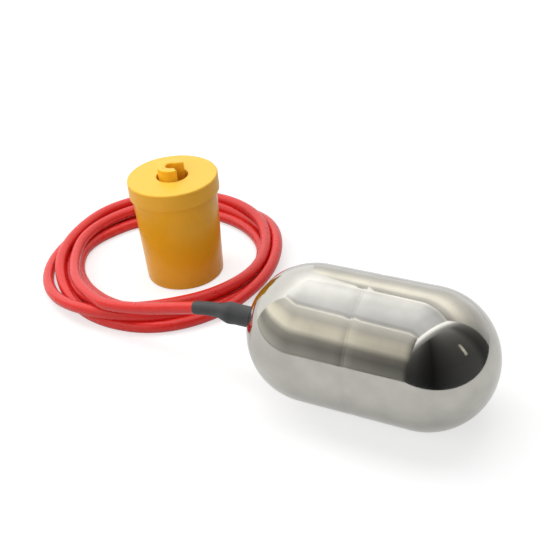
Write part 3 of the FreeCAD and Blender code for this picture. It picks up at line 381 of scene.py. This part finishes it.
# Each turn starts at the front and runs clockwise, seen from above, and the last one stops part way.
# Its stations, twelve to a turn, give the distance from the coil's middle and the height.
TURNS = (
    ((71.5, 17.0), (61.5, 13.0), (58.2, 11.0), (63.3, 11.0), (65.0, 11.0), (67.5, 11.2),
     (71.2, 8.0), (72.4, 3.7), (73.9, 3.7), (72.0, 3.7), (71.2, 4.0), (73.8, 9.0)),
    ((76.5, 11.8), (78.0, 6.5), (77.8, 3.7), (77.6, 3.7), (78.4, 3.7), (77.9, 3.7),
     (77.5, 3.7), (79.4, 6.5), (76.3, 10.9), (77.8, 9.3), (78.6, 5.0), (79.4, 3.7)),
    ((74.5, 3.7), (69.0, 4.2), (69.0, 10.0), (71.5, 11.0), (79.2, 11.0), (78.8, 11.0),
     (77.4, 11.2), (73.2, 11.6), (69.0, 11.2), (69.5, 11.0), (68.2, 12.0), (68.0, 13.0)),
    ((65.0, 6.5), (62.0, 3.9), (64.6, 3.7), (69.8, 3.7), (71.0, 3.7), (69.5, 3.7),
     (65.5, 3.7), (65.2, 3.7), (66.5, 3.7), (64.5, 3.7), (63.8, 3.7), (60.8, 3.7)),
    ((57.5, 3.7), (55.0, 3.7), (57.4, 3.7), (62.8, 3.7)),
)
TAIL = ((-171.0, 80.0, 3.7), (-160.5, 85.5, 3.7), (-149.0, 87.5, 3.7), (-137.5, 86.0, 3.7))

STATION_STEP = math.tau / 12

route = list(LEAD)
for turn in TURNS:
    for k, (radius, height) in enumerate(turn):
        angle = -math.pi / 2 - k * STATION_STEP
        # The spline cuts inside its control points, so they lie further out.
        reach = radius / math.cos(STATION_STEP / 2)
        across = COIL_CENTRE.x + reach * math.cos(angle)
        back = COIL_CENTRE.y + reach * math.sin(angle)
        route.append((across, back, height))
route += TAIL

curve = bpy.data.curves.new("red_cable", "CURVE")
curve.dimensions = "3D"
curve.bevel_depth = CABLE_DIAMETER / 2
curve.bevel_resolution = 6
curve.resolution_u = 12
curve.use_fill_caps = True
spline = curve.splines.new("NURBS")
spline.points.add(len(route) - 1)
for point, (x, y, z) in zip(spline.points, route):
    point.co = (x * MM, y * MM, z * MM, 1.0)
spline.order_u = 3
spline.use_endpoint_u = True
cable = piece("red_cable", curve, "cable_red")
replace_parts(cable, "cable_lead", "cable_coil", "cable_tail")


# ---------------------------------------------------------------- heat-shrink sleeve

def centre_line():
    """The cable's centre line, from the float outwards."""
    bare = curve.copy()
    bare.bevel_depth = 0.0
    holder = bpy.data.objects.new("centre_line", bare)
    line = bpy.data.meshes.new_from_object(holder)
    points = [vertex.co.copy() for vertex in line.vertices]
    bpy.data.objects.remove(holder)
    bpy.data.curves.remove(bare)
    bpy.data.meshes.remove(line)
    return points


def eased(stops, place):
    """A value between (place, value) stops, with a level tangent at each stop."""
    for (first, low), (second, high) in zip(stops, stops[1:]):
        if place <= second:
            share = max(0.0, (place - first) / (second - first))
            return low + (high - low) * share * share * (3 - 2 * share)
    return stops[-1][1]


# Distances along the sleeve are from the nipple's end, and negative over the nipple.
SLEEVE_FRONT = -16.7 * MM
SLEEVE_END = 22.0 * MM
# The sleeve's outer radius at some of these distances.
SHRUNK = ((SLEEVE_FRONT, 5.95 * MM), (-6.0 * MM, 5.95 * MM), (-2.2 * MM, 6.3 * MM),
          (6.5 * MM, 4.3 * MM), (12.0 * MM, 4.02 * MM), (SLEEVE_END, 4.0 * MM))
SLEEVE_SIDES = 64
SLEEVE_STATIONS = 84
# Edges over this many degrees stay sharp.
SLEEVE_SHARP = 50
SLEEVE_WALL = 0.28 * MM
LEAST_WALL = 0.08 * MM
# At the sleeve's end its outside falls by this depth over this length.
RIM_DEPTH = 0.12 * MM
RIM_LENGTH = 0.8 * MM
# Folds round the sleeve: distance, depth and half width. On its top they have a share of that depth.
FOLDS = ((4.2 * MM, 0.22 * MM, 0.55 * MM), (6.4 * MM, 0.26 * MM, 0.6 * MM), (8.8 * MM, 0.14 * MM, 0.7 * MM))
FOLD_TOP = 0.15
# A faint ripple: its depth, and the lengths over which its two waves run on by a radian.
RIPPLE = 0.035 * MM
RIPPLE_LONG = 3.1 * MM
RIPPLE_SHORT = 1.9 * MM


def sleeve_path():
    """Evenly spaced (distance, centre, direction) along the nipple's axis and then the cable."""
    points = centre_line()
    reach = 0.0
    run = [(0.0, points[0])]
    for first, second in zip(points, points[1:]):
        reach += (second - first).length
        run.append((reach, second))
    stations = []
    for k in range(SLEEVE_STATIONS + 1):
        place = SLEEVE_FRONT + (SLEEVE_END - SLEEVE_FRONT) * k / SLEEVE_STATIONS
        if place <= 0.0:
            stations.append((place, points[0] - Vector((place, 0.0, 0.0)), Vector((-1.0, 0.0, 0.0))))
            continue
        for (near, here), (far, there) in zip(run, run[1:]):
            if place <= far:
                centre = here.lerp(there, (place - near) / (far - near))
                stations.append((place, centre, (there - here).normalized()))
                break
    return stations


def crease(place, angle):
    """Small folds where the sleeve shrank from the nipple down on to the cable, deepest underneath."""
    under = max(0.0, -math.sin(angle)) ** 2
    folds = 0.0
    for at, depth, width in FOLDS:
        folds += depth * math.exp(-((place - at) / width) ** 2)
    waves = math.sin(3 * angle + place / RIPPLE_SHORT) * math.cos(2 * angle - place / RIPPLE_LONG)
    return RIPPLE * waves - folds * (FOLD_TOP + (1 - FOLD_TOP) * under)


def shrunk_sleeve():
    """Wall of shrunk sleeve along the nipple and the cable, open at both ends."""
    mesh = bmesh.new()
    outer = []
    inner = []
    for place, centre, way in sleeve_path():
        side = way.cross(UP).normalized()
        up = side.cross(way)
        base = eased(SHRUNK, place)
        inside = base - SLEEVE_WALL
        rim = RIM_DEPTH * max(0.0, 1 - (SLEEVE_END - place) / RIM_LENGTH) ** 2
        outer_ring = []
        inner_ring = []
        for k in range(SLEEVE_SIDES):
            angle = math.tau * k / SLEEVE_SIDES
            about = side * math.cos(angle) + up * math.sin(angle)
            outside = max(inside + LEAST_WALL, base + crease(place, angle) - rim)
            outer_ring.append(mesh.verts.new(centre + about * outside))
            inner_ring.append(mesh.verts.new(centre + about * inside))
        outer.append(outer_ring)
        inner.append(inner_ring)
    bridge(mesh, outer + inner[::-1])
    return smooth_piece("shrunk_sleeve", mesh, "sleeve_black", SLEEVE_SHARP)


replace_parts(shrunk_sleeve(), "heat_shrink_sleeve")


# ---------------------------------------------------------------- clamp ring

# Radii of the ring's outside, its bore and its rounded edges.
CLAMP_OUTER = 8.75 * MM
CLAMP_BORE = 3.6 * MM
CLAMP_EDGE = 0.45 * MM
# Edges over this many degrees are rounded.
CLAMP_SHARP = 40
OUTER_STEPS = 72
BORE_STEPS = 48
EDGE_STEPS = 3
# The slot's near end is cut radially, its far end aslant: directions in degrees from +x.
SLOT_NEAR = 327
SLOT_FAR_OUTER = 52
SLOT_FAR_BORE = 84


def arc(radius, first, last, steps):
    """Points about the weight's axis from one direction to another, in degrees."""
    points = []
    for k in range(steps + 1):
        angle = math.radians(first + (last - first) * k / steps)
        points.append(WEIGHT_AXIS + radius * Vector((math.cos(angle), math.sin(angle))))
    return points


def split_ring():
    """The clamp ring with its edges rounded."""
    low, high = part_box("cable_clamp_ring")
    mesh = bmesh.new()
    outline = arc(CLAMP_OUTER, SLOT_FAR_OUTER, SLOT_NEAR, OUTER_STEPS)
    outline += arc(CLAMP_BORE, SLOT_NEAR, SLOT_FAR_BORE, BORE_STEPS)
    foot = [mesh.verts.new((x, y, low.z)) for x, y in outline]
    base = mesh.faces.new(foot)
    raised = bmesh.ops.extrude_face_region(mesh, geom=[base])
    top = [item for item in raised["geom"] if isinstance(item, bmesh.types.BMVert)]
    bmesh.ops.translate(mesh, verts=top, vec=UP * (high.z - low.z))
    bmesh.ops.recalc_face_normals(mesh, faces=mesh.faces)
    sharp = [edge for edge in mesh.edges if edge.calc_face_angle() > math.radians(CLAMP_SHARP)]
    bmesh.ops.bevel(mesh, geom=sharp, offset=CLAMP_EDGE, segments=EDGE_STEPS, profile=0.5, affect="EDGES")
    return smooth_piece("split_clamp_ring", mesh, "clamp_yellow", CLAMP_SHARP)


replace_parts(split_ring(), "cable_clamp_ring")


# ---------------------------------------------------------------- surroundings

# The floor's own grey, its lift to white near the object and far from it, and the distances from the
# frame's origin between which the one turns into the other.
FLOOR_GREY = (0.5, 0.5, 0.5)
FLOOR_LIFT = 0.62
FAR_LIFT = 0.92
LIFT_RANGE = (0.3, 1.4)
# What the floor adds in a reflection, or through glass.
FLOOR_MIRRORED = 0.41
FLOOR_REACH = 4.0


def shown_to(thing, camera=True, diffuse=True, glossy=True, shadow=True):
    """Which rays meet a piece of the surroundings."""
    thing.visible_camera = camera
    thing.visible_diffuse = diffuse
    thing.visible_glossy = glossy
    thing.visible_shadow = shadow


def math_node(tree, operation):
    """A math node that does one operation."""
    made = tree.nodes.new("ShaderNodeMath")
    made.operation = operation
    return made


def pale_floor():
    """White paper: it takes shadows, and is lifted to white where the camera or a reflection sees it."""
    made = finish("studio_floor", FLOOR_GREY, 0.9, Specular_IOR_Level=0.0, Emission_Color=WHITE)
    tree = made.node_tree
    path = tree.nodes.new("ShaderNodeLightPath")
    place = tree.nodes.new("ShaderNodeTexCoord")
    away = tree.nodes.new("ShaderNodeVectorMath")
    away.operation = "LENGTH"
    lift = spread(tree, LIFT_RANGE, (FLOOR_LIFT, FAR_LIFT))
    lift.interpolation_type = "SMOOTHSTEP"
    direct = math_node(tree, "MULTIPLY")
    either = math_node(tree, "MAXIMUM")
    total = math_node(tree, "MULTIPLY_ADD")
    total.inputs[1].default_value = FLOOR_MIRRORED
    tree.links.new(place.outputs["Object"], away.inputs[0])
    tree.links.new(away.outputs["Value"], lift.inputs["Value"])
    tree.links.new(path.outputs["Is Camera Ray"], direct.inputs[0])
    tree.links.new(lift.outputs["Result"], direct.inputs[1])
    tree.links.new(path.outputs["Is Glossy Ray"], either.inputs[0])
    tree.links.new(path.outputs["Is Transmission Ray"], either.inputs[1])
    tree.links.new(either.outputs[0], total.inputs[0])
    tree.links.new(direct.outputs[0], total.inputs[2])
    tree.links.new(total.outputs[0], tree.nodes["Principled BSDF"].inputs["Emission Strength"])
    return made


paper = bpy.data.meshes.new("floor")
corners = [(-FLOOR_REACH, -FLOOR_REACH, 0), (FLOOR_REACH, -FLOOR_REACH, 0),
           (FLOOR_REACH, FLOOR_REACH, 0), (-FLOOR_REACH, FLOOR_REACH, 0)]
paper.from_pydata(corners, [], [(0, 1, 2, 3)])
paper.materials.append(pale_floor())
floor = bpy.data.objects.new("floor", paper)
bpy.context.scene.collection.objects.link(floor)

# The float mirrors a light tent: white cloth all round and above, but for a dark opening low on its
# right, with a small bright window in it. Only reflections see it. It stands askew to the float, on
# its own directions across and back.
TENT_MIDDLE = Vector((0.047, -0.036, 0.0))
TENT_ACROSS = Vector((0.8675, -0.4975, 0.0))
TENT_BACK = Vector((0.4975, 0.8675, 0.0))
TENT_LEFT, TENT_RIGHT = -1.0, 0.25
TENT_FRONT, TENT_REAR = -0.55, 0.66
TENT_TOP = 1.25
TENT_STRENGTH = 2.0
OPENING_TOP = 0.45 * TENT_TOP
# The window stands a little inside the opening: how far back as a share of the tent's depth, how high,
# and its width and height.
WINDOW_INSET = 0.01
WINDOW_BACK = 0.545
WINDOW_FOOT = 0.13
WINDOW_WIDTH = 0.02
WINDOW_HEIGHT = 0.085
# What a warmth of 1 takes from green and from blue.
WARM_GREEN = 0.04
WARM_BLUE = 0.14


def in_tent(across, back, height):
    """A point of the tent, across and back from its middle and up from the floor."""
    return TENT_MIDDLE + TENT_ACROSS * across + TENT_BACK * back + UP * height


def glow(tree, axis, stops):
    """Colour along one of the sheet's own axes, from its (place, brightness, warmth) stops."""
    place = tree.nodes.new("ShaderNodeTexCoord")
    split = tree.nodes.new("ShaderNodeSeparateXYZ")
    ramp = tree.nodes.new("ShaderNodeValToRGB")
    tree.links.new(place.outputs["Object"], split.inputs[0])
    tree.links.new(split.outputs[axis], ramp.inputs["Fac"])
    band = ramp.color_ramp
    while len(band.elements) < len(stops):
        band.elements.new(0.5)
    for element, (where, level, warmth) in zip(band.elements, stops):
        element.position = where
        green = level * (1 - WARM_GREEN * warmth)
        blue = level * (1 - WARM_BLUE * warmth)
        element.color = (level, green, blue, 1.0)
    return ramp.outputs["Color"]


def cloth(name, corner, along, up, rising, running):
    """One sheet of the tent, lit unevenly: the stops up it and along it are multiplied."""
    mesh = bpy.data.meshes.new(name)
    mesh.from_pydata([(0, 0, 0), (1, 0, 0), (1, 1, 0), (0, 1, 0)], [], [(0, 1, 2, 3)])
    made = bpy.data.materials.new(name)
    made.use_nodes = True
    tree = made.node_tree
    tree.nodes.remove(tree.nodes["Principled BSDF"])
    both = tree.nodes.new("ShaderNodeMix")
    both.data_type = "RGBA"
    both.blend_type = "MULTIPLY"
    both.inputs[MIX_SHARE].default_value = 1.0
    tree.links.new(glow(tree, "Y", rising), both.inputs[MIX_FIRST])
    tree.links.new(glow(tree, "X", running), both.inputs[MIX_SECOND])
    light = tree.nodes.new("ShaderNodeEmission")
    light.inputs["Strength"].default_value = TENT_STRENGTH
    tree.links.new(both.outputs[MIX_RESULT], light.inputs["Color"])
    tree.links.new(light.outputs["Emission"], tree.nodes["Material Output"].inputs["Surface"])
    mesh.materials.append(made)
    sheet = bpy.data.objects.new(name, mesh)
    bpy.context.scene.collection.objects.link(sheet)
    sides = Matrix((along, up, along.cross(up).normalized())).transposed().to_4x4()
    sheet.matrix_world = Matrix.Translation(corner) @ sides
    shown_to(sheet, camera=False, diffuse=False, shadow=False)


wide = TENT_ACROSS * (TENT_RIGHT - TENT_LEFT)
deep = TENT_BACK * (TENT_REAR - TENT_FRONT)
tall = UP * TENT_TOP
opening = UP * OPENING_TOP
EVEN = ((0.0, 1.0, 0.0), (1.0, 1.0, 0.0))
cloth("tent_top", in_tent(TENT_LEFT, TENT_FRONT, TENT_TOP), wide, deep,
      ((0.02, 0.9, 0.0), (0.05, 0.7, 0.0), (0.09, 0.72, -0.2), (0.14, 0.9, -0.4), (0.4, 1.0, -0.4),
       (0.7, 0.93, -0.4), (0.9, 0.8, -0.2), (0.93, 0.98, 0.0), (0.97, 0.98, 0.0)),
      ((0.0, 1.0, 0.2), (0.2, 0.92, 0.2), (0.4, 0.7, 0.2), (0.55, 0.62, 0.0), (0.7, 0.5, 0.0),
       (1.0, 0.46, 0.0)))
cloth("tent_front", in_tent(TENT_LEFT, TENT_FRONT, 0.0), wide, tall,
      ((0.0, 0.3, 0.4), (0.04, 0.36, 0.5), (0.15, 0.23, 0.6), (0.24, 0.3, 0.7), (0.33, 0.8, 1.2),
       (0.44, 0.74, 1.3), (0.6, 0.52, 0.7), (0.9, 0.6, 0.5), (0.955, 0.85, 0.4), (1.0, 0.85, 0.4)),
      ((0.0, 1.0, 0.0), (0.45, 1.05, 0.0), (0.7, 0.9, 0.0), (0.86, 0.68, 0.0), (0.95, 0.36, 0.0),
       (1.0, 0.12, 0.0)))
cloth("tent_left", in_tent(TENT_LEFT, TENT_FRONT, 0.0), deep, tall,
      ((0.0, 0.6, 0.1), (0.38, 0.68, 0.0), (0.64, 0.78, 0.0), (0.95, 0.98, 0.0), (1.0, 0.98, 0.0)), EVEN)
cloth("tent_rear", in_tent(TENT_LEFT, TENT_REAR, 0.0), wide, tall,
      ((0.0, 0.55, 0.0), (0.18, 0.47, 0.2), (0.3, 0.56, 0.6), (0.48, 0.84, 0.8), (0.6, 0.86, 0.8),
       (0.76, 0.54, 0.6), (0.9, 0.46, 0.4), (0.96, 0.36, 0.2)),
      ((0.0, 1.0, 0.0), (0.6, 1.0, 0.0), (0.85, 0.72, 0.0), (1.0, 0.45, 0.0)))
cloth("tent_right", in_tent(TENT_RIGHT, TENT_FRONT, OPENING_TOP), deep, tall - opening,
      ((0.0, 0.16, 0.0), (0.2, 0.28, 0.0), (0.45, 0.75, 0.0), (0.65, 0.98, 0.0), (1.0, 0.98, 0.0)), EVEN)
cloth("tent_opening", in_tent(TENT_RIGHT, TENT_FRONT, 0.0), deep, opening,
      ((0.0, 0.05, -0.6), (0.2, 0.05, 0.0), (0.45, 0.07, 0.0), (0.65, 0.1, 0.0), (0.85, 0.15, 0.0),
       (1.0, 0.2, 0.0)),
      ((0.0, 0.6, 0.0), (0.2, 0.5, 0.0), (0.37, 0.14, 0.0), (0.5, 0.7, 0.0), (0.62, 1.0, 0.0),
       (0.7, 0.5, 0.0), (1.0, 0.9, 0.0)))
window_back = TENT_FRONT + WINDOW_BACK * (TENT_REAR - TENT_FRONT)
cloth("tent_window", in_tent(TENT_RIGHT - WINDOW_INSET, window_back, WINDOW_FOOT),
      TENT_BACK * WINDOW_WIDTH, UP * WINDOW_HEIGHT,
      ((0.0, 0.3, 1.0), (0.5, 0.45, 1.2), (1.0, 0.3, 1.0)), EVEN)


# ---------------------------------------------------------------- world and lamps

# The world's light on the object; the camera sees white.
WORLD_STRENGTH = 0.36
# Name, place, the point that it faces, width and height, and power in watts.
LAMPS = (
    ("top_softbox", (-0.1, 0.2, 1.1), (-0.05, 0.0, 0.0), (1.0, 0.7), 5.6),
    ("left_softbox", (-1.0, 0.1, 0.75), (-0.05, 0.0, 0.03), (0.5, 0.7), 4.0),
    ("front_softbox", (-0.35, -0.95, 0.6), (-0.05, 0.0, 0.03), (1.0, 0.8), 4.5),
)


def background(tree, strength):
    """A white background node."""
    made = tree.nodes.new("ShaderNodeBackground")
    made.inputs["Color"].default_value = WHITE
    made.inputs["Strength"].default_value = strength
    return made


world = bpy.data.worlds.new("studio")
bpy.context.scene.world = world
world.use_nodes = True
sky = world.node_tree
sky.nodes.remove(sky.nodes["Background"])
sky_path = sky.nodes.new("ShaderNodeLightPath")
sky_mix = sky.nodes.new("ShaderNodeMixShader")
sky.links.new(sky_path.outputs["Is Camera Ray"], sky_mix.inputs["Fac"])
sky.links.new(background(sky, WORLD_STRENGTH).outputs["Background"], sky_mix.inputs[1])
sky.links.new(background(sky, 1.0).outputs["Background"], sky_mix.inputs[2])
sky.links.new(sky_mix.outputs["Shader"], sky.nodes["World Output"].inputs["Surface"])


def lamp(name, place, aim, size, power):
    """A soft rectangular lamp that faces a point; reflections show the tent instead."""
    light = bpy.data.lights.new(name, "AREA")
    light.shape = "RECTANGLE"
    light.size, light.size_y = size
    light.energy = power
    holder = bpy.data.objects.new(name, light)
    holder.location = place
    holder.rotation_euler = (Vector(aim) - Vector(place)).to_track_quat("-Z", "Y").to_euler()
    bpy.context.scene.collection.objects.link(holder)
    shown_to(holder, camera=False, glossy=False)


for row in LAMPS:
    lamp(*row)


# ---------------------------------------------------------------- camera

FOCAL_LENGTH = 65.39
SENSOR_WIDTH = 36.0
CAMERA_PLACE = (0.2320, -0.4218, 0.3510)
# The view's turn about the vertical, how far it looks down, and its roll, in degrees.
CAMERA_TURN = 29.83
CAMERA_DOWN = 32.34
CAMERA_ROLL = -5.26

lens = bpy.data.cameras.new("camera")
lens.lens = FOCAL_LENGTH
lens.sensor_width = SENSOR_WIDTH
camera = bpy.data.objects.new("camera", lens)
turned_to = Matrix.Rotation(math.radians(CAMERA_TURN), 4, "Z")
tilted = Matrix.Rotation(math.radians(90 - CAMERA_DOWN), 4, "X")
rolled = Matrix.Rotation(math.radians(CAMERA_ROLL), 4, "Z")
camera.matrix_world = Matrix.Translation(CAMERA_PLACE) @ turned_to @ tilted @ rolled
bpy.context.scene.collection.objects.link(camera)
bpy.context.scene.camera = camera

bpy.context.scene.view_settings.view_transform = "Standard"
